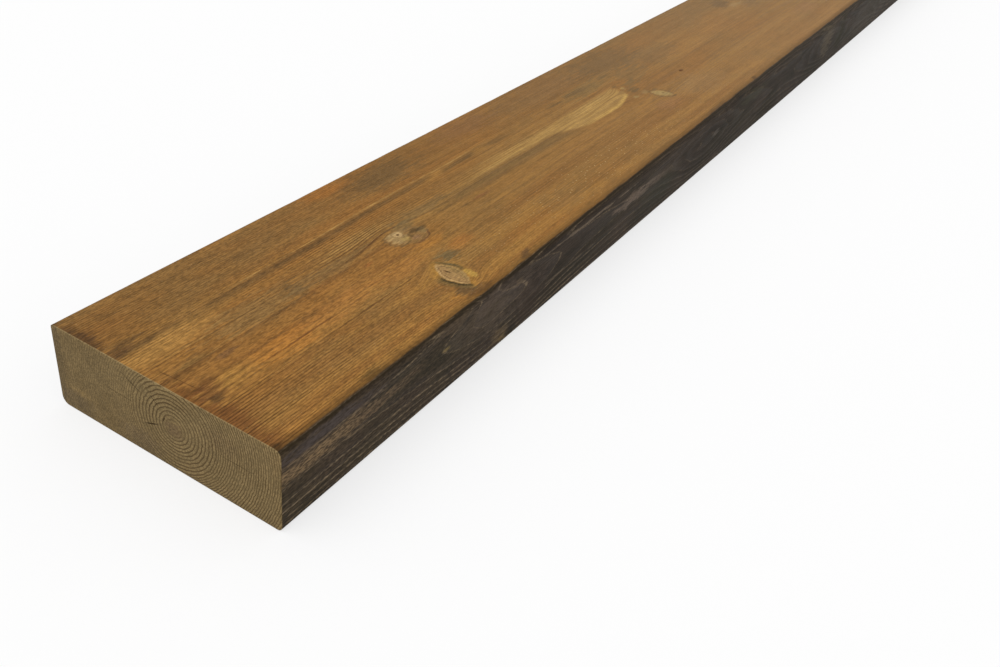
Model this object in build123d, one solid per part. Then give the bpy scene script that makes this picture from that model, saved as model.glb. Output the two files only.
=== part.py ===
"""A sawn and eased softwood plank, 225 x 75 mm in section, cut square at both ends.

All sizes are millimetres. X runs along the grain, Y across the width and Z up through the thickness.
The origin is on the underside, at the middle of the length and of the width.
The plank is one piece of wood, so it is one solid.
"""

import os

from build123d import *

# The stock: a standard sawn section and a standard stock length.
plank_length = 2400.0
plank_width = 225.0
plank_thickness = 75.0

# The four long edges are eased by different amounts. Front is the -Y face and back is the +Y face.
top_front_edge_radius = 7.0
top_back_edge_radius = 2.0
bottom_front_edge_radius = 4.0
bottom_back_edge_radius = 7.0

# The edges round each cross-cut end are broken by this much, so that they don't splinter.
end_edge_break = 0.8


def round_corner(section, side, level, radius):
    """Rounds the corner of the section at y = side and z = level."""
    corner = section.vertices().sort_by_distance((side, level, 0))[0]
    return fillet(corner, radius)


def make_section():
    """The plank's cross-section: x of the sketch is the plank's Y, and y of the sketch is the plank's Z."""
    front = -plank_width / 2
    back = plank_width / 2
    section = Rectangle(plank_width, plank_thickness, align=(Align.CENTER, Align.MIN))
    section = round_corner(section, front, plank_thickness, top_front_edge_radius)
    section = round_corner(section, back, plank_thickness, top_back_edge_radius)
    section = round_corner(section, front, 0, bottom_front_edge_radius)
    section = round_corner(section, back, 0, bottom_back_edge_radius)
    return section


def make_plank():
    """The section carried along the grain, with the edges of both cross-cut ends broken."""
    plank = extrude(Plane.YZ * make_section(), plank_length / 2, both=True)
    ends = plank.faces().sort_by(Axis.X)
    end_edges = ends[0].edges() + ends[-1].edges()
    return chamfer(end_edges, end_edge_break)


os.makedirs("parts", exist_ok=True)
export_step(make_plank(), "parts/plank.step")
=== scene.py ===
import math

import bmesh
import bpy
from mathutils import Matrix, Vector, noise


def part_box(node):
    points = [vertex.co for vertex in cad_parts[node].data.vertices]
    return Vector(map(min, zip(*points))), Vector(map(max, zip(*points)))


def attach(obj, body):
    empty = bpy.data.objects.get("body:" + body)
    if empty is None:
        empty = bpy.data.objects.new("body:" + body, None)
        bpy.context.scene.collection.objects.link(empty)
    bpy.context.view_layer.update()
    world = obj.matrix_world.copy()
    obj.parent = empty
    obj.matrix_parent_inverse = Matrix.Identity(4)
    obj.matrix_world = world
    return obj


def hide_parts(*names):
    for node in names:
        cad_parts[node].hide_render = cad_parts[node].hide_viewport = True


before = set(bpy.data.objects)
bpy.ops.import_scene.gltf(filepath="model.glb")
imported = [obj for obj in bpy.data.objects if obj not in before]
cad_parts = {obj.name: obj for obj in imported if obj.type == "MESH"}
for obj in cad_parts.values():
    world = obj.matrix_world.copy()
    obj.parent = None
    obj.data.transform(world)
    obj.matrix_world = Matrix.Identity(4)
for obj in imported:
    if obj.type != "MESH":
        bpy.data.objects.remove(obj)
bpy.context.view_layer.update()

# The sawn blank.
# One length of softwood, sawn from round the heart of a small tree to 225 x 75 mm and cut square.
# The four long edges are eased by different amounts, and the cross-cut edges are just broken.
mm = 0.001
low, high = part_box("plank")
near_end, far_end = low.x, high.x
front, back = low.y, high.y
underside, top = low.z, high.z

eased_edges = [
    # side, level, radius
    (front, top, 7 * mm),
    (back, top, 2 * mm),
    (front, underside, 4 * mm),
    (back, underside, 7 * mm),
]
easing_steps = 6
cut_edge_break = 0.8 * mm
cut_edge_steps = 2
touching = 0.01 * mm

wood = bmesh.new()
bmesh.ops.create_cube(wood, size=1)
bmesh.ops.scale(wood, vec=high - low, verts=wood.verts)
bmesh.ops.translate(wood, vec=(low + high) / 2, verts=wood.verts)


def ease(edges, size, steps):
    """Rounds or breaks these edges of the blank."""
    bmesh.ops.bevel(
        wood, geom=edges, offset=size, segments=steps, profile=0.5, affect="EDGES", material=-1
    )


for side, level, radius in eased_edges:
    arris = [
        edge for edge in wood.edges
        if all(abs(v.co.y - side) < touching and abs(v.co.z - level) < touching for v in edge.verts)
    ]
    ease(arris, radius, easing_steps)

for end in (near_end, far_end):
    outline = [
        edge for edge in wood.edges
        if all(abs(v.co.x - end) < touching for v in edge.verts)
    ]
    ease(outline, cut_edge_break, cut_edge_steps)

# The splits and pits.
# Drying has opened fine checks in the end grain, which mostly point at the heart and taper inwards.
# One knot has split, another has a small hole, and the top and the lower front edge are chipped.
cutters = bmesh.new()


def split(middle, along, across, inward, length, width, depth):
    """A four-sided wedge: widest at its middle, and running to a point inside the wood."""
    place = Matrix((along * length, across * width, inward * depth)).transposed().to_4x4()
    place.translation = middle + inward * (depth / 2 - touching)
    bmesh.ops.create_cone(
        cutters, cap_ends=True, segments=4, radius1=0.5, radius2=0, depth=1, matrix=place
    )


def end_check(end, start, finish, width, depth):
    """A check in the end grain from start to finish, each as (y, z) in millimetres."""
    a = Vector((end, start[0] * mm, start[1] * mm))
    b = Vector((end, finish[0] * mm, finish[1] * mm))
    along = (b - a).normalized()
    inward = Vector((-1 if end > 0 else 1, 0, 0))
    split((a + b) / 2, along, inward.cross(along), inward, (b - a).length, width * mm, depth * mm)


near_checks = [
    # start, finish, width, depth
    ((39, 67), (17.5, 56.7), 0.6, 10),
    ((11, 62), (1.5, 53), 0.6, 10),
    ((19, 30), (4, 36), 0.9, 12),
    ((60, 44.5), (26, 44), 0.4, 7),
    ((-1, 41.5), (-3.5, 47.5), 0.7, 7),
    ((-52, 41), (-90, 41.5), 0.4, 7),
]
far_checks = [
    ((-24, 50), (-52, 63), 1.0, 11),
    ((-14, 30), (-19, 12), 1.1, 9),
    ((8, 42), (46, 46), 0.8, 10),
]
for check in near_checks:
    end_check(near_end, *check)
for check in far_checks:
    end_check(far_end, *check)

split(
    Vector((-935.8, -67.5, 75)) * mm,
    along=Vector((0.05, -1, 0)).normalized(),
    across=Vector((1, 0.05, 0)).normalized(),
    inward=Vector((0, 0, -1)),
    length=8.5 * mm,
    width=2.2 * mm,
    depth=6 * mm,
)


def pit(middle, half_size):
    """A small hollow, as an oval bite out of the surface. Both are (x, y, z) in millimetres."""
    place = Matrix.Diagonal(Vector(half_size) * mm).to_4x4()
    place.translation = Vector(middle) * mm
    bmesh.ops.create_icosphere(cutters, subdivisions=2, radius=1, matrix=place)


pits = [
    # middle, half size: a knot's hole, a chip in the top, and two bites out of the lower front edge
    ((-915.8, 1.8, 75.2), (1.5, 1.2, 1.6)),
    ((-288.5, -15, 75.4), (4.0, 2.2, 1.8)),
    ((-888, -113.2, 3.0), (5.0, 2.4, 3.5)),
    ((-882, -112.4, 0.2), (3.5, 3.0, 2.2)),
]
for middle, half_size in pits:
    pit(middle, half_size)


def as_object(name, made):
    """A new object in the scene, with its place in its mesh."""
    mesh = bpy.data.meshes.new(name)
    made.to_mesh(mesh)
    made.free()
    piece = bpy.data.objects.new(name, mesh)
    bpy.context.scene.collection.objects.link(piece)
    return piece


blank = as_object("blank", wood)
wedges = as_object("wedges", cutters)
opening = blank.modifiers.new("splits", "BOOLEAN")
opening.operation = "DIFFERENCE"
opening.solver = "EXACT"
opening.use_self = True
opening.object = wedges
opened = blank.evaluated_get(bpy.context.evaluated_depsgraph_get())
wood = bmesh.new()
wood.from_mesh(bpy.data.meshes.new_from_object(opened))
for spent in (blank, wedges):
    bpy.data.objects.remove(spent)

# The worn faces.
# Sawing, drying and handling leave the faces slightly hollow and the long edges slightly uneven.
# The wood is sliced into short facets, and each corner is then sunk by up to half a millimetre.
fine_stretch = near_end + 420 * mm
fine_step = 3.2 * mm
plain_step = 5.5 * mm
face_step = 4.6 * mm
end_margin = 2 * mm
edge_margin = 7 * mm


def slice_wood(places, normal):
    """Cuts the mesh at each place along the normal, so that the faces can be worn."""
    for place in places:
        everything = wood.verts[:] + wood.edges[:] + wood.faces[:]
        bmesh.ops.bisect_plane(wood, geom=everything, plane_co=normal * place, plane_no=normal)


def steps_between(start, finish, step):
    """Evenly spaced places strictly between start and finish, about a step apart."""
    count = max(1, round((finish - start) / step))
    return [start + (finish - start) * i / count for i in range(1, count)]


slice_wood(
    steps_between(near_end + end_margin, fine_stretch, fine_step)
    + steps_between(fine_stretch, far_end - end_margin, plain_step),
    Vector((1, 0, 0)),
)
slice_wood(steps_between(front + edge_margin, back - edge_margin, face_step), Vector((0, 1, 0)))
slice_wood(steps_between(underside + edge_margin, top - edge_margin, face_step), Vector((0, 0, 1)))

saw_wave = 0.08 * mm
edge_wear = 0.12 * mm
knock_depth = 0.4 * mm
worn_width = 8 * mm
kept_square = 0.5 * mm
crease_angle = 32


def wear(place):
    """How far the surface at this place has been sunk, in metres."""
    x, y, z = place
    sawing = saw_wave * (1 + noise.noise(Vector((x * 9, y * 28, z * 28))))
    corner_y = min(y - front, back - y)
    corner_z = min(z - underside, top - z)
    edge = max(0, 1 - max(corner_y, corner_z) / worn_width)
    knocks = max(0, noise.noise(Vector((x * 33, y * 40, z * 40))) - 0.25)
    wander = 0.5 + 0.5 * noise.noise(Vector((x * 7, y * 3 + 5, z * 3)))
    return sawing + edge * (edge_wear * wander + knock_depth * knocks)


wood.normal_update()
for corner in wood.verts:
    if abs(abs(corner.co.x) - far_end) > kept_square:
        corner.co -= corner.normal * wear(corner.co)

plank = as_object("worn_plank", wood)
plank.data.shade_smooth()
plank.data.set_sharp_from_angle(angle=math.radians(crease_angle))
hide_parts("plank")
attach(plank, "root")

# The grain.
# The heart of the tree runs along the plank a little off its middle, and every face cuts its rings
# at a slant. They part round each knot, and swell into closed loops over a branch behind a face.
finish = bpy.data.materials.new("stained_pine")
finish.use_nodes = True
plank.data.materials.clear()
plank.data.materials.append(finish)


class Shade:
    """A value, place or colour that changes through the wood. Its maths is written as sums."""

    def __init__(self, socket):
        self.socket = socket

    @classmethod
    def make(cls, tree, kind, settings=None, values=None, output=0):
        """Adds a node, sets it up, and fills its sockets with numbers or other shades."""
        added = tree.nodes.new(kind)
        for name, setting in (settings or {}).items():
            setattr(added, name, setting)
        for name, value in (values or {}).items():
            if isinstance(value, cls):
                tree.links.new(value.socket, added.inputs[name])
            else:
                added.inputs[name].default_value = value
        return cls(added.outputs[output])

    def also(self, output):
        """Another output of the same node."""
        return Shade(self.socket.node.outputs[output])

    def maths(self, operation, *others):
        """A Math node on this value and the others."""
        values = dict(enumerate([self, *others]))
        return Shade.make(self.socket.id_data, "ShaderNodeMath", {"operation": operation}, values)

    def __add__(self, other):
        return self.maths("ADD", other)

    def __mul__(self, other):
        return self.maths("MULTIPLY", other)

    def __sub__(self, other):
        return self.maths("SUBTRACT", other)

    def __truediv__(self, other):
        return self.maths("DIVIDE", other)

    def __rsub__(self, other):
        return self.maths("MULTIPLY_ADD", -1, other)

    def __rpow__(self, base):
        power = {"operation": "POWER"}
        return Shade.make(self.socket.id_data, "ShaderNodeMath", power, {0: base, 1: self})

    def __abs__(self):
        return self.maths("ABSOLUTE")

    __radd__ = __add__
    __rmul__ = __mul__


def grow(kind, settings=None, values=None, output=0):
    """A node of the plank's own finish."""
    return Shade.make(finish.node_tree, kind, settings, values, output)


def vector(operation, *parts, output=0):
    """Vector maths on places or colours."""
    return grow("ShaderNodeVectorMath", {"operation": operation}, dict(enumerate(parts)), output)


def scaled(offset, amount):
    """An offset made longer or shorter."""
    return grow("ShaderNodeVectorMath", {"operation": "SCALE"}, {0: offset, "Scale": amount})


def apart(place):
    """The x, y and z of a place."""
    along = grow("ShaderNodeSeparateXYZ", values={0: place})
    return along, along.also(1), along.also(2)


def fade(value, start, full, most=1.0):
    """0 where the value is at start, most where it is at full, and smooth between them."""
    sockets = {"Value": value, "From Min": start, "From Max": full, "To Max": most}
    return grow("ShaderNodeMapRange", {"interpolation_type": "SMOOTHSTEP"}, sockets)


def from_middle(place, middle, size):
    """A place seen from the middle of an oval, in half sizes. A size of 0 leaves that way out."""
    scale = [1 / part if part else 0 for part in size]
    offset = [-start * factor for start, factor in zip(middle, scale)]
    return vector("MULTIPLY_ADD", place, scale, offset)


def nearness(offset):
    """1 at the middle of an oval, 0.37 at its rim and soon nothing beyond."""
    return 0.3679 ** vector("DOT_PRODUCT", offset, offset, output="Value")


def figure(along, across, seed, detail=1.0, place=None):
    """Soft random figure from 0 to 1, drawn out along the grain. Its sizes are in millimetres."""
    squeeze = (1 / along, 1 / across, 1 / across)
    offset = (seed * 13.7, seed * 5.3, seed * 9.1)
    spot = vector("MULTIPLY_ADD", place or in_wood, squeeze, offset)
    return grow("ShaderNodeTexNoise", values={"Vector": spot, "Scale": 1.0, "Detail": detail})


coordinates = grow("ShaderNodeTexCoord", output="Object")
in_wood = vector("MULTIPLY", coordinates, (1000, 1000, 1000))
x, y, z = apart(in_wood)

parting = -0.82
knots_in_faces = [
    # middle, how far round it the grain parts
    ((-917, -3, 75), (34, 19, 26)),
    ((-938, -72, 75), (22, 27, 26)),
    ((-413, 8, 75), (26, 18, 24)),
    ((-388, -31, 75), (30, 17, 24)),
    ((95, 52, 75), (44, 24, 26)),
    ((590, -20, 75), (40, 24, 26)),
    ((-880, 10, 0), (36, 20, 26)),
    ((640, 55, 0), (40, 24, 26)),
]
parted = in_wood
for middle, reach in knots_in_faces:
    offset = from_middle(in_wood, middle, reach)
    pulled = scaled(offset, nearness(offset))
    parted = vector("MULTIPLY_ADD", pulled, (0, parting * reach[1], parting * reach[2]), parted)

heart_y, heart_z = -11.5, 40.5
tilt = 0.04
lean = 0.045
far_along = fade(x, -850, -250)
wander = figure(420, 40, 1).also("Color")
wander = vector("MULTIPLY_ADD", wander, (0, 1, 1), (0, -0.5, -0.5))
wander = scaled(wander, far_along * 7.0 + fade(y, -104, -60, 1.4) + 0.4)
grown = vector("ADD", parted, wander)
_, grown_y, grown_z = apart(grown)
from_heart_y = grown_y - heart_y
from_heart_z = from_heart_y.maths("MULTIPLY_ADD", tilt, grown_z) - heart_z
round_heart = (from_heart_z * from_heart_z + from_heart_y * from_heart_y).maths("SQRT")

buried_branches = [
    # middle, half size, how far the rings swell
    ((-903, -112, 49), (107, 60, 70), 4.4),
    ((-418, -112, 40), (95, 60, 40), 6.5),
    ((130, -112, 46), (120, 60, 60), 7.0),
    ((600, -112, 30), (110, 60, 60), 7.0),
    ((-905, 112, 28), (100, 60, 50), 6.0),
    ((-400, 112, 36), (110, 60, 50), 7.0),
    ((610, 112, 24), (110, 60, 50), 7.0),
    ((140, -40, 0), (60, 30, 30), 5.0),
]
swelling = 0
for middle, reach, height in buried_branches:
    swelling = nearness(from_middle(in_wood, middle, reach)) * height + swelling
ripple = (figure(60, 8, 3) - 0.5) * (far_along * 1.4 + 0.5)
on_end = fade(abs(x), 1199.0, 1199.6)
uneven_growth = (figure(60, 5, 13, 2.0) - 0.5) * on_end * 2.0
ring_radius = round_heart - from_heart_z * lean - swelling + ripple + uneven_growth

# The first years grew wide rings, and those past the change grew narrower ones.
core_spacing, outer_spacing, spacing_change = 3.35, 2.205, 41.5
first_ring = -0.49
closer = 1 / outer_spacing - 1 / core_spacing
past_change = (ring_radius - spacing_change).maths("MAXIMUM", 0)
ring_count = past_change.maths("MULTIPLY_ADD", closer, first_ring)
ring_count = ring_radius.maths("MULTIPLY_ADD", 1 / core_spacing, ring_count)
within_ring = ring_count.maths("FRACT")
late_wood = fade(within_ring, 0.4, 0.84) * fade(within_ring, 1.0, 0.93)
along_rings = grow("ShaderNodeCombineXYZ", values={0: x, 1: ring_radius, 2: (y + z) * 0.16})

fibres = fade(figure(55, 1.2, 4, 1.0, grown), 0.32, 0.68)
ring_mood = fade(figure(500, 3.2, 5, 1.0, along_rings), 0.34, 0.66)
broad_streaks = fade(figure(420, 9, 6, 2.0, along_rings), 0.33, 0.67)
mottle = fade(figure(70, 26, 7, 2.0), 0.33, 0.67)
drift = fade(figure(260, 60, 8), 0.35, 0.65)
smudges = fade(figure(15, 9, 12, 2.0), 0.3, 0.7)
speckle = fade(figure(4.4, 1.3, 9), 0.3, 0.7)
sandy = (speckle - 0.5) * (fade(x, -700, -1080, 0.3) + fade(x, 700, 1100, 0.15) + 0.18)
edge_wander = fade(figure(24, 3.4, 10, 3.0), 0.25, 0.75) - 0.5

# The stained top.
# The broad face has soaked up a brown preservative unevenly: honey and orange along the heart,
# browner behind, with grey-olive weather marks and the darker lines of the late wood.
def seen(red, green, blue):
    """A colour as it looks, 0 to 255, made linear for the shader."""
    shares = [part / 255 for part in (red, green, blue)]
    return [s / 12.92 if s <= 0.04045 else ((s + 0.055) / 1.055) ** 2.4 for s in shares] + [1.0]


def tint(colour, other, amount):
    """The colour with an amount, from 0 to 1, of another laid over it."""
    return grow("ShaderNodeMix", {"data_type": "RGBA"}, {0: amount, 6: colour, 7: other}, 2)


def shaded(colour, brightness):
    """The colour made brighter or darker all over, as a mix that may go past full."""
    settings = {"data_type": "RGBA", "clamp_factor": False}
    return grow("ShaderNodeMix", settings, {0: brightness, 6: seen(0, 0, 0), 7: colour}, 2)


# Stain runs a few millimetres further along some streaks than along others. Since every stain waits
# for the streaks, few of them wait at once: with too many, the renderer leaves the plank black.
in_stain = grow("ShaderNodeCombineXYZ", values={0: (broad_streaks - 0.5) * 5 + x, 1: y, 2: z})


def patch(middle, size, strength=1.0, ragged=0.8):
    """The strength inside an oval patch of stain and 0 outside, with an uneven soft edge."""
    away = vector("LENGTH", from_middle(in_stain, middle, size), output="Value")
    return fade(edge_wander.maths("MULTIPLY_ADD", ragged, away), 1.3, 0.4, strength)


def line(value, middle, half_width):
    """1 where the value is at the middle, fading to 0 at twice the half width away."""
    return fade(abs(value - middle), half_width * 2, 0)


def stained(colour, stains, ragged=0.8):
    """The colour with oval stains on the top laid over it. A row may end in its own raggedness."""
    for stain_x, stain_y, half_length, half_width, looks, strength, *own in stains:
        size = (half_length, half_width, 0)
        here = patch((stain_x, stain_y, 0), size, strength, *(own or [ragged]))
        colour = tint(colour, seen(*looks), here)
    return colour


top_colour = tint(seen(140, 98, 48), seen(160, 116, 56), broad_streaks)
top_colour = tint(top_colour, seen(128, 92, 48), fade(y, 38, 75, 0.65))
top_colour = tint(top_colour, seen(128, 100, 58), (1 - mottle) * drift * 0.4)
top_colour = tint(top_colour, seen(160, 106, 48), (1 - drift) * mottle * 0.25)

top_stains = [
    # x, y, half length, half width, colour, strength
    (-1168, 31, 55, 13, (176, 131, 68), 0.7),
    (-1088, 13, 58, 17, (132, 104, 62), 0.6),
    (-1046, 8, 9, 13, (104, 82, 50), 0.5),
    (-1000, 9, 55, 9, (126, 99, 60), 0.6),
    (-1104, -33, 34, 14, (176, 117, 50), 0.65),
    (-1040, -32, 60, 13, (166, 112, 54), 0.5),
    (-1165, -30, 24, 9, (174, 128, 62), 0.6),
    (-960, -38, 40, 11, (160, 108, 52), 0.45),
    (-965, -97, 7, 6, (172, 118, 50), 0.5),
    (-905, -27, 22, 6, (174, 118, 50), 0.6),
    (-885, -47, 20, 8, (164, 106, 48), 0.5),
    (-895, 103, 36, 10, (160, 104, 46), 0.6),
    (-830, 85, 62, 21, (106, 82, 48), 0.75),
    (-665, 92, 65, 17, (132, 94, 58), 0.55),
    (-500, 84, 120, 26, (124, 94, 58), 0.5),
    (-950, 24, 46, 8, (174, 134, 74), 0.6),
    (-858, 14, 46, 8, (120, 97, 60), 0.6),
    (-735, -76, 45, 18, (138, 108, 62), 0.4),
    (-610, -20, 220, 80, (128, 96, 54), 0.4),
    (-345, 74, 85, 34, (108, 84, 50), 0.7),
    (-355, 30, 44, 18, (126, 100, 60), 0.55),
    (-265, 42, 70, 26, (116, 92, 58), 0.55),
    (-310, -52, 60, 26, (150, 116, 72), 0.5),
    (-412, -52, 36, 12, (150, 104, 66), 0.4),
    (-455, 46, 60, 13, (124, 100, 58), 0.6),
    (-470, 50, 34, 5, (106, 82, 50), 0.5),
    (68, 64, 26, 14, (96, 72, 44), 0.8),
    (125, 32, 30, 14, (116, 88, 56), 0.6),
    (92, 46, 24, 6, (164, 138, 92), 0.5),
    (190, -47, 50, 16, (152, 104, 66), 0.4),
    (420, 30, 80, 22, (118, 92, 60), 0.5),
    (760, -10, 90, 26, (170, 128, 74), 0.4),
    (930, 70, 70, 20, (112, 84, 52), 0.5),
]
top_colour = stained(top_colour, top_stains)

# A dark streak runs behind the heart, with a light line beside it.
streak_y = figure(200, 400, 11).maths("MULTIPLY_ADD", 13, 39)
dark_streak = line(y, streak_y, 3.6) * fade(mottle, 0.0, 0.6) * fade(x, -560, -700, 0.75)
top_colour = tint(top_colour, seen(98, 74, 42), dark_streak)
light_line = line(y - 5.4, streak_y, 0.8) * fade(x, -1110, -1060) * fade(x, -650, -760)
top_colour = tint(top_colour, seen(178, 138, 78), light_line * (smudges * 0.6 + 0.3))

# The pale flame in front of the far knots, with its bright lower edge and a grey streak below it.
flame_lower = fade(x, -730, -640, -3) + fade(x, -625, -540, -19) + fade(x, -475, -425, 9) + 12
flame_upper = fade(x, -730, -640, -3) + 28
flame = fade(y, flame_lower - 3, flame_lower + 3) * fade(y, flame_upper + 5, flame_upper - 5)
flame = flame * fade(edge_wander * 14 + x, -830, -700) * fade(edge_wander * 14 + x, -418, -430)
flame = flame * (fade(x, -600, -470, 0.35) + 0.9)
flame = flame * (broad_streaks * 0.4 + fibres * 0.3 + 0.25)
top_colour = tint(top_colour, seen(180, 143, 80), flame)
flame_edge = line(y, flame_lower + 1, 2.2) * fade(x, -560, -460) * fade(x, -425, -434)
top_colour = tint(top_colour, seen(208, 168, 90), flame_edge * (smudges * 0.4 + 0.55))
grey_streak = line(y, flame_lower - 8, 6.5) * fade(x, -870, -800) * fade(x, -540, -640)
top_colour = tint(top_colour, seen(112, 88, 52), grey_streak * 0.7)

# Single marks: the darkened cut, short drying lines, knocks and spots.
top_marks = [
    # x, y, half length, half width, colour, strength
    (-1200, 82, 9, 28, (74, 54, 34), 0.75),
    (-1180, 54, 20, 4, (86, 66, 40), 0.6),
    (-1196, 47, 14, 7, (98, 70, 42), 0.5),
    (-1199, -62, 15, 60, (100, 60, 30), 0.65),
    (-1182, -32, 12, 13, (112, 72, 40), 0.6),
    (-1145, -9, 13, 3, (110, 78, 48), 0.7),
    (-1184, -41, 7, 4, (78, 58, 32), 0.7),
    (-1165, 2, 16, 5, (112, 88, 50), 0.5),
    (-1199, -107, 5, 5, (34, 26, 14), 0.9),
    (-1090, -105, 13, 6, (90, 72, 36), 0.65),
    (-1078, -37, 50, 0.9, (98, 60, 26), 0.8),
    (-1017, -51, 66, 0.9, (94, 62, 28), 0.8),
    (-1110, 27, 40, 0.8, (104, 78, 46), 0.5),
    (-1040, 24, 30, 0.8, (100, 76, 44), 0.6),
    (-942, -21.5, 34, 0.8, (118, 80, 44), 0.6),
    (-975, -10, 9, 2.0, (146, 88, 44), 0.5),
    (-797, -12.4, 17, 2.2, (126, 84, 50), 0.7),
    (-824, -12, 8, 1.2, (102, 76, 44), 0.6),
    (-950, -95, 12, 8, (90, 70, 44), 0.75),
    (-942, -104, 14, 5, (80, 62, 42), 0.55),
    (-860, -104, 9, 5, (82, 62, 42), 0.75),
    (-770, -48, 60, 0.8, (106, 72, 38), 0.6),
    (-740, -5, 70, 0.9, (102, 76, 44), 0.5),
    (-640, -14, 60, 0.9, (110, 78, 44), 0.5),
    (-600, -30, 90, 0.8, (110, 74, 40), 0.5),
    (-530, 49, 16, 2.4, (96, 74, 44), 0.6),
    (-227, -100, 6, 3, (84, 58, 34), 0.8),
    (-380, -104, 34, 5, (92, 72, 52), 0.6),
    (1199, 45, 12, 46, (96, 66, 38), 0.55),
    (1196, -52, 18, 30, (88, 64, 38), 0.5),
]
top_colour = stained(top_colour, top_marks, ragged=0.9)
scratch = line(x + 0.09 * y, -1188.1, 0.6) * fade(y, 13, 9) * fade(y, -28, -20)
top_colour = tint(top_colour, seen(82, 54, 26), scratch * (smudges * 0.4 + 0.3))

# The lines of the late wood stand out most near the cut ends and about the first knots.
near_front = fade(y, -34, -62) * (fade(x, -940, -1120, 0.5) + fade(x, -1130, -1190, 0.5))
near_cut = fade(x, -960, -1120, 0.4) + fade(x, -1130, -1190, 0.6)
by_the_knots = nearness(from_middle(in_wood, (-950, 20, 75), (62, 20, 40)))
far_cut = fade(x, 950, 1190, 0.35)
line_strength = near_front * 0.3 + near_cut * 0.35 + by_the_knots * 0.75 + far_cut + 0.27
calm = patch((-1000, -38, 0), (135, 24, 0), 0.6)
line_strength = ring_mood.maths("MULTIPLY_ADD", 0.65, 0.45) * line_strength * (1 - calm)
top_colour = tint(top_colour, seen(88, 56, 24), late_wood * line_strength)
top_brightness = fibres * 0.22 + smudges * 0.1 + (1 - late_wood) * near_front * 0.1 + 0.82 + sandy

# The knots in the top.
# Two knots show near the cut end and two more further along: cream, with a dark eye or split, faint
# rings of their own and a grey-olive or yellow stain round them. One beyond those is guessed.
def round_knot(middle, half_size, turn):
    """How far out a place on the top is from a knot's middle, each way, in half sizes."""
    turned = (0, 0, math.radians(turn))
    sockets = {"Vector": in_wood, "Location": middle, "Rotation": turned, "Scale": half_size}
    u, v, _ = apart(grow("ShaderNodeMapping", {"vector_type": "TEXTURE"}, sockets))
    return u, v


def oval(u, v, uneven):
    """1 on the rim of an oval knot and 0 at its middle."""
    return edge_wander.maths("MULTIPLY_ADD", uneven, (u * u + v * v).maths("SQRT"))


def lens(u, v, uneven):
    """Nearly 1 on the rim of a knot that comes to a point at both ends, and less inside it."""
    return edge_wander.maths("MULTIPLY_ADD", uneven, (u * u + 0.03).maths("SQRT") + v * v) - 0.08


# The first knot, near the front, is split, with bark along the side towards the cut.
u, v = round_knot((-937, -73, 0), (9.8, 20.5, 1), -7)
knot = lens(u, v, 0.16)
bark_side = fade(u, 0.25, -0.15) * fade(v, 0.35, -0.1)
outer_side = fade(u, -0.15, 0.3) * fade(v, -0.3, 0.2)
top_colour = tint(top_colour, seen(170, 126, 56), fade(knot, 2.1, 1.2, 0.5))
top_colour = stained(top_colour, [(-914, -52, 12, 9, (108, 94, 62), 0.7, 1.2)])
top_colour = tint(top_colour, seen(96, 82, 50), line(knot, 1.55, 0.4) * bark_side * 0.6)
top_colour = tint(top_colour, seen(62, 52, 30), line(knot, 1.26, 0.18) * bark_side * 0.9)
thin_bark = line(knot, 1.3, 0.25) * outer_side * (smudges * 0.6 + 0.35)
top_colour = tint(top_colour, seen(84, 74, 48), thin_bark)
top_colour = stained(top_colour, [(-927, -84, 5, 9, (184, 146, 70), 0.75, 0.5)])
top_colour = tint(top_colour, seen(166, 132, 84), fade(knot, 1.16, 0.88, 0.88))
olive_side = fade(u, 0.15, 0.6) * fade(knot, 1.1, 0.8, 0.55)
top_colour = tint(top_colour, seen(148, 122, 70), olive_side)
bright_rim = line(knot, 0.9, 0.1) * fade(u, 0.1, -0.4) * 0.35
top_colour = tint(top_colour, seen(192, 158, 108), bright_rim)
top_colour = tint(top_colour, seen(128, 98, 60), line(knot, 0.68, 0.09) * (smudges * 0.5 + 0.3))
inner_ring = line(knot, 0.4, 0.09) * (1 - smudges * 0.5) * 0.6
top_colour = tint(top_colour, seen(134, 102, 64), inner_ring)
top_colour = stained(top_colour, [(-935.8, -67.5, 1.1, 4.0, (66, 36, 18), 0.95, 0.2)])

# The second knot, near the middle: a pale eye set in a leaf-shaped stain with two dark hollows.
top_colour = stained(top_colour, [(-899, 8, 20, 8, (118, 98, 62), 0.55, 1.2)])
u, v = round_knot((-908, -6, 0), (20.5, 15, 1), -8)
leaf = oval(u, v, 0.08)
top_colour = tint(top_colour, seen(134, 106, 66), fade(leaf, 1.1, 0.8, 0.55))
top_colour = stained(top_colour, [
    (-908, -13, 6, 4, (150, 112, 80), 0.5),
    (-893, -8, 6, 6, (124, 106, 68), 0.55),
])
leaf_rim = line(leaf, 1.0, 0.045) * fade(v, -0.05, -0.4) * fade(u, -0.5, 0.1)
top_colour = tint(top_colour, seen(98, 66, 42), leaf_rim * 0.8)
top_colour = stained(top_colour, [
    (-898.5, -3, 7, 4.2, (86, 64, 34), 0.85),
    (-890, -6.5, 7, 3, (94, 72, 42), 0.75),
])
u, v = round_knot((-920.5, -2, 0), (11.5, 9.5, 1), 20)
knot = oval(u, v, 0.5)
dark_rim = line(knot, 1.18, 0.16) * fade(u, 0.7, 0) * (smudges * 0.5 + 0.35)
top_colour = tint(top_colour, seen(108, 84, 50), dark_rim)
top_colour = tint(top_colour, seen(168, 138, 90), fade(knot, 1.2, 0.7, 0.8))
top_colour = stained(top_colour, [(-917, -8, 6, 4, (160, 132, 72), 0.5)])
eye = vector("LENGTH", from_middle(in_wood, (-915.6, 2, 0), (1, 1, 0)), output="Value")
eye = eye + edge_wander * 1.6
top_colour = tint(top_colour, seen(186, 154, 106), fade(eye, 6.5, 3.0, 0.6))
top_colour = tint(top_colour, seen(132, 104, 66), line(eye, 5.6, 0.6) * (smudges * 0.4 + 0.35))
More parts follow.
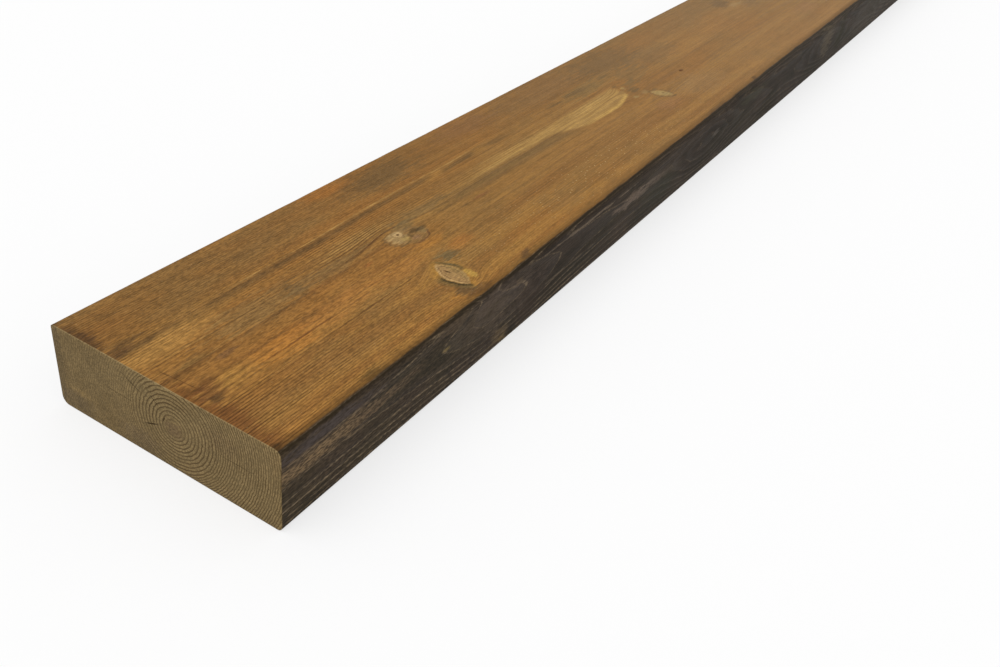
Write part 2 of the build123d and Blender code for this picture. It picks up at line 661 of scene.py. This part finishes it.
top_colour = stained(top_colour, [
    (-909.4, -8.4, 2, 4.6, (112, 84, 48), 0.75, 0.4),
    (-915.6, 2, 1.6, 1.3, (84, 58, 32), 0.9, 0.2),
])

# The third knot, further along: a whorl of small dark and pale marks.
top_colour = stained(top_colour, [
    (-411, 0, 13, 7, (106, 82, 48), 0.9, 1.2),
    (-385, 14, 22, 6, (112, 90, 54), 0.65, 1.2),
    (-404, -14, 8, 5, (150, 124, 76), 0.55),
    (-386, -18, 6, 3, (106, 82, 48), 0.6),
    (-416, 13.3, 5, 4, (172, 142, 84), 0.75),
    (-419, 23, 7, 2.4, (96, 76, 44), 0.7),
    (-429, -12, 6, 3, (158, 134, 84), 0.65),
])

# The fourth knot, beside it, and the dark chip beyond them.
u, v = round_knot((-388, -31, 0), (8.5, 16, 1), 34)
knot = lens(u, v, 0.4)
top_colour = tint(top_colour, seen(112, 88, 52), line(knot, 1.3, 0.25) * (0.7 - smudges * 0.4))
top_colour = tint(top_colour, seen(168, 142, 88), fade(knot, 1.3, 0.5, 0.85))
top_colour = stained(top_colour, [
    (-385.8, -31.6, 2.6, 1.5, (104, 78, 44), 0.8, 0.3),
    (-378, -46, 8, 2, (96, 70, 40), 0.75),
    (-288.5, -15, 5, 2.6, (84, 44, 20), 0.9),
])

# A plain knot beyond what the photograph shows.
u, v = round_knot((590, -20, 0), (12, 17, 1), 10)
knot = oval(u, v, 0.3)
top_colour = tint(top_colour, seen(88, 66, 38), line(knot, 1.15, 0.16) * 0.6)
top_colour = tint(top_colour, seen(164, 132, 82), fade(knot, 1.15, 0.8, 0.85))
top_colour = tint(top_colour, seen(122, 92, 56), line(knot, 0.55, 0.12) * smudges * 0.7)
top_colour = shaded(top_colour, top_brightness)

# The sawdust.
# Pale specks of dust from the saw lie loose on the top along the front, most of them past the first
# knots. Further along the plank, a light haze of the same dust dulls the stain.
specks_per_mm = 0.17
cells = grow(
    "ShaderNodeTexVoronoi",
    {"voronoi_dimensions": "2D"},
    {"Vector": in_wood, "Scale": specks_per_mm},
    "Distance",
)
chosen = fade(grow("ShaderNodeSeparateColor", values={0: cells.also("Color")}), 0.55, 1.0)
dusty = nearness(from_middle(in_wood, (-640, -70, 0), (200, 23, 0))) + 0.12
specks = fade(cells, 0.14, 0.07) * chosen * dusty
top_colour = tint(top_colour, seen(214, 184, 128), specks * 0.85)
haze = fade(x, -900, 200, 0.4) * fade(x, 1150, 750)
top_colour = tint(top_colour, seen(143, 118, 86), haze)

# The dark edges.
# The narrow faces are a dark grey-brown, partly their own dark stain and partly painted shade.
# Their rings show as thin pale lines, which close round the buried branches.
flattest = 0.07
steepness = abs(from_heart_z / round_heart - lean).maths("MAXIMUM", flattest)
from_boundary = (0.5 - abs(within_ring - 0.5)) * outer_spacing / steepness
broken_line = (smudges * 0.6 + 0.4) * (fade(x, -900, -560, -0.7) + 1)
ring_line = fade(from_boundary, 1.4, 0.4) * broken_line * ring_mood.maths("MULTIPLY_ADD", 0.5, 0.5)
# This dark colour is stain with painted shade in it, used on the front and back faces alike.
stained_and_shaded_edges = tint(seen(65, 53, 38), seen(40, 31, 22), fade(x, -1130, -860))
stained_and_shaded_edges = tint(stained_and_shaded_edges, seen(43, 37, 29), fade(x, -700, -100))
stained_and_shaded_edges = tint(stained_and_shaded_edges, seen(66, 55, 46), mottle * 0.45)
stained_and_shaded_edges = tint(stained_and_shaded_edges, seen(46, 42, 27), (1 - mottle) * drift * 0.5)
stained_and_shaded_edges = tint(stained_and_shaded_edges, seen(90, 75, 58), broad_streaks * fibres * 0.3)
stained_and_shaded_edges = tint(stained_and_shaded_edges, seen(128, 110, 86), ring_line * (speckle * 0.6 + 0.42))
stained_and_shaded_edges = shaded(stained_and_shaded_edges, fibres * 0.2 + smudges * 0.14 + sandy * 1.5 + 0.74)

front_stains = [
    # x, z, half length, half height, colour, strength
    (-1150, 64, 60, 6, (78, 69, 66), 0.7),
    (-1160, 49.5, 72, 8.5, (122, 99, 70), 0.85),
    (-1085, 49.5, 50, 6.5, (98, 80, 60), 0.6),
    (-990, 66, 30, 5, (90, 74, 56), 0.6),
    (-999, 48, 6, 2.6, (136, 114, 68), 0.65),
    (-940, 48, 56, 20, (84, 71, 54), 0.6),
    (-930, 64, 28, 7, (86, 72, 60), 0.5),
    (-882, 58, 8, 4, (98, 82, 62), 0.7),
    (-910, 14, 15, 9, (104, 86, 60), 0.65),
    (-900, 7, 9, 4, (120, 100, 66), 0.5),
    (-888, 9, 9, 5, (28, 22, 11), 0.85),
    (-862, 24, 24, 20, (54, 42, 31), 0.7),
    (-735, 65, 95, 1.6, (116, 100, 82), 0.8),
    (-780, 29, 60, 1.5, (98, 84, 68), 0.7),
    (-630, 49, 46, 7.5, (112, 95, 80), 0.85),
    (-566, 49, 32, 5.5, (102, 87, 73), 0.75),
    (-560, 28, 60, 20, (52, 52, 38), 0.5),
    (-385, 46, 12, 4, (92, 84, 76), 0.7),
    (-250, 60, 60, 9, (64, 62, 44), 0.5),
    (120, 52, 34, 26, (96, 84, 66), 0.6),
    (205, 40, 22, 34, (44, 40, 22), 0.75),
    (420, 40, 150, 30, (74, 67, 56), 0.5),
]
front_colour = stained_and_shaded_edges
for stain_x, stain_z, half_length, half_height, looks, strength in front_stains:
    grainy = strength * (speckle * 0.5 + 0.6)
    here = patch((stain_x, 0, stain_z), (half_length, 0, half_height), grainy, 1.1)
    front_colour = tint(front_colour, seen(*looks), here)
blotchy = patch((-905, 0, 44), (70, 0, 26), 0.5) * smudges
front_colour = tint(front_colour, seen(94, 80, 69), blotchy * (speckle * 0.6 + 0.5))
open_grain = patch((-1140, 0, 49.5), (95, 0, 9), 1.0, 0.4)
front_colour = shaded(front_colour, (speckle - 0.6) * open_grain * 0.7 + 1)
front_colour = tint(front_colour, seen(132, 112, 86), ring_line * open_grain * 0.7)

# The sawn ends.
# End grain greys as it dries. Its rings stand out in front of the heart and are worn faint behind
# it, and the end keeps the colour of the bare wood in a few places.
faint_behind = fade(y, 50, 12, 0.6) + 0.4 - patch((0, 15, 15), (0, 18, 14), 0.35)
core_blur = fade(ring_radius, 5, 13, 0.75) + 0.25
thin_late_wood = fade(within_ring, 0.5, 0.82) * fade(within_ring, 1.0, 0.93)
end_line = ring_mood * 0.2 + smudges * 0.45 + speckle * 0.4 + 0.2
end_line = thin_late_wood * faint_behind * core_blur * end_line
end_colour = tint(seen(122, 102, 68), seen(113, 94, 62), mottle)
end_stains = [
    # y, z, half width, half height, colour, strength
    (110, 40, 8, 42, (86, 72, 50), 0.65),
    (90, 21, 13, 4, (146, 120, 76), 0.7),
    (96, 11, 22, 12, (96, 82, 62), 0.6),
    (75, 45, 26, 18, (118, 99, 66), 0.4),
    (25, 10, 22, 12, (100, 84, 64), 0.55),
    (-12, 66, 30, 6, (98, 78, 48), 0.4),
    (-58, 54, 16, 10, (98, 78, 54), 0.55),
    (-50, 8, 40, 9, (128, 106, 70), 0.5),
    (-11, 39, 10, 8, (104, 84, 60), 0.7),
    (-108, 60, 5, 14, (132, 108, 72), 0.5),
]
for stain_y, stain_z, half_width, half_height, looks, strength in end_stains:
    here = patch((0, stain_y, stain_z), (0, half_width, half_height), strength)
    end_colour = tint(end_colour, seen(*looks), here)
early_wood = (1 - late_wood) * core_blur * faint_behind * 0.45
end_colour = tint(end_colour, seen(142, 122, 84), early_wood)
end_colour = tint(end_colour, seen(66, 49, 26), end_line * 0.85)
end_colour = shaded(end_colour, speckle * 0.46 + smudges * 0.14 + 0.7)

# Each check in the near end, and a thin strip of the face along it, is drawn darker.
check_darkening_depth = 30
for (start_y, start_z), (finish_y, finish_z), width, _ in near_checks:
    run, rise = finish_y - start_y, finish_z - start_z
    sockets = {
        "Vector": in_wood,
        "Location": (near_end / mm, (start_y + finish_y) / 2, (start_z + finish_z) / 2),
        "Rotation": (math.atan2(rise, run), 0, 0),
        "Scale": (check_darkening_depth, math.hypot(run, rise) / 2, width * 0.8),
    }
    from_check = grow("ShaderNodeMapping", {"vector_type": "TEXTURE"}, sockets)
    check_darkening = fade(vector("LENGTH", from_check, output="Value"), 1.3, 0.4, 0.2 + width * 0.6)
    end_colour = tint(end_colour, seen(48, 35, 20), check_darkening)

# The faces brought together.
# The dark colour of the edges, stain with painted shade, creeps over the rounded corners on to the
# top, and further over towards the far end. The break round the sawn end shows pale broken fibres.
# At both upper arrises, the distance out from the middle is the height plus this much.
arris_reach = 37.5
past_front = (y + z).maths("MULTIPLY_ADD", -1, -arris_reach)
past_back = y - z - arris_reach
creep = fade(x, -1150, 100, -7.5) - 2 + (mottle - 0.5) * 0.8 + edge_wander * 1.2
into_edge = past_front - creep
top_colour = tint(top_colour, seen(88, 62, 30), fade(into_edge, -11, -1, 0.6))
on_front = fade(into_edge, -1.8, 1.4)
soaked = line(into_edge, 2.6, 1.8)
on_back = fade(past_back, -2.0, 1.0)
on_underside = fade(z, 3.0, 0.8)

# The front and back faces take the dark edge colour, with its painted shade.
wood_colour = tint(top_colour, front_colour, on_front)
wood_colour = tint(wood_colour, seen(40, 31, 15), soaked * 0.8)
wood_colour = tint(wood_colour, stained_and_shaded_edges, on_back)
underside_colour = tint(seen(124, 94, 54), seen(104, 82, 50), broad_streaks)
underside_colour = tint(underside_colour, seen(96, 82, 56), (1 - mottle) * 0.5)
underside_colour = tint(underside_colour, seen(72, 50, 26), late_wood * (ring_mood * 0.35 + 0.25))
underside_colour = shaded(underside_colour, 0.74 + fibres * 0.2 + speckle * 0.26)
wood_colour = tint(wood_colour, underside_colour, on_underside)
wood_colour = tint(wood_colour, end_colour, on_end)
broken = fade(abs(x), 1198.6, 1199.3) * fade(abs(x), 1199.9, 1199.4) * fade(z, 70, 74.4)
wood_colour = tint(wood_colour, seen(156, 134, 94), broken * (speckle * 0.5 + 0.3))

height = late_wood * 0.09 + fibres * 0.07 + speckle * 0.11 + specks * 0.3
relief = grow("ShaderNodeBump", values={"Strength": 1.0, "Distance": mm, "Height": height})
roughness = 0.78 - late_wood * 0.08 + on_end * 0.1 - broad_streaks * 0.05

surface = finish.node_tree.nodes["Principled BSDF"]
surface.inputs["Specular IOR Level"].default_value = 0.1
for name, shade in (("Base Color", wood_colour), ("Roughness", roughness), ("Normal", relief)):
    finish.node_tree.links.new(shade.socket, surface.inputs[name])

# The studio.
# A plain white floor under soft even light, seen from where the photograph was taken. To the camera
# the floor is partly as bright as its paper-white backdrop, which leaves the plank's shadow soft.
floor_mesh = bmesh.new()
bmesh.ops.create_grid(floor_mesh, x_segments=1, y_segments=1, size=15)
floor = as_object("floor", floor_mesh)
paper = bpy.data.materials.new("white_floor")
paper.use_nodes = True
floor.data.materials.append(paper)
paper_surface = paper.node_tree.nodes["Principled BSDF"]
paper_surface.inputs["Roughness"].default_value = 1
paper_surface.inputs["Specular IOR Level"].default_value = 0
white = (1, 1, 1, 1)


def white_to_eye(tree):
    """1 for rays that see the scene, straight or in a reflection, and 0 for those that light it."""
    camera_ray = Shade.make(tree, "ShaderNodeLightPath", output="Is Camera Ray")
    glossy_ray = camera_ray.also("Is Glossy Ray")
    reflected = glossy_ray.maths("MAXIMUM", camera_ray.also("Is Transmission Ray"))
    return camera_ray.maths("MAXIMUM", reflected)


glow = Shade.make(
    paper.node_tree, "ShaderNodeEmission", values={"Color": white, "Strength": 1.0}
)
sees_paper = white_to_eye(paper.node_tree)
paper_shade = sees_paper * 0.09 + 0.85
paper.node_tree.links.new(paper_shade.socket, paper_surface.inputs["Base Color"])
lifted = Shade.make(
    paper.node_tree,
    "ShaderNodeMixShader",
    values={0: sees_paper * 0.68, 1: Shade(paper_surface.outputs[0]), 2: glow},
)
paper_output = paper.node_tree.nodes["Material Output"]
paper.node_tree.links.new(lifted.socket, paper_output.inputs["Surface"])

world = bpy.data.worlds.new("studio")
bpy.context.scene.world = world
world.use_nodes = True
sky = world.node_tree.nodes["Background"]
sky.inputs["Color"].default_value = white
sky_strength = 0.72
brightness = white_to_eye(world.node_tree) * (1 - sky_strength) + sky_strength
world.node_tree.links.new(brightness.socket, sky.inputs["Strength"])

lamp = bpy.data.lights.new("softbox", "SUN")
lamp.energy = 1.1
lamp.angle = math.radians(60)
softbox = bpy.data.objects.new("softbox", lamp)
bpy.context.scene.collection.objects.link(softbox)
light_from = Vector((-0.45, 0.25, 1))
softbox.rotation_euler = light_from.to_track_quat("Z", "Y").to_euler()

# The camera's place, direction and lens were worked out from the plank's own straight edges.
camera_place = Vector((-1.56798, -0.44697, 0.53096))
looking = Vector((0.731187, 0.370584, -0.572742)).normalized()
camera_up = Vector((0.440996, 0.383784, 0.811315))
camera_right = looking.cross(camera_up).normalized()
camera_up = camera_right.cross(looking)
lens_data = bpy.data.cameras.new("camera")
lens_data.sensor_width = 36
lens_data.lens = 35.673
lens_data.clip_start = 0.05
camera = bpy.data.objects.new("camera", lens_data)
bpy.context.scene.collection.objects.link(camera)
turned = Matrix((camera_right, camera_up, -looking)).transposed()
camera.matrix_world = Matrix.Translation(camera_place) @ turned.to_4x4()
bpy.context.scene.camera = camera
bpy.context.scene.view_settings.view_transform = "Standard"
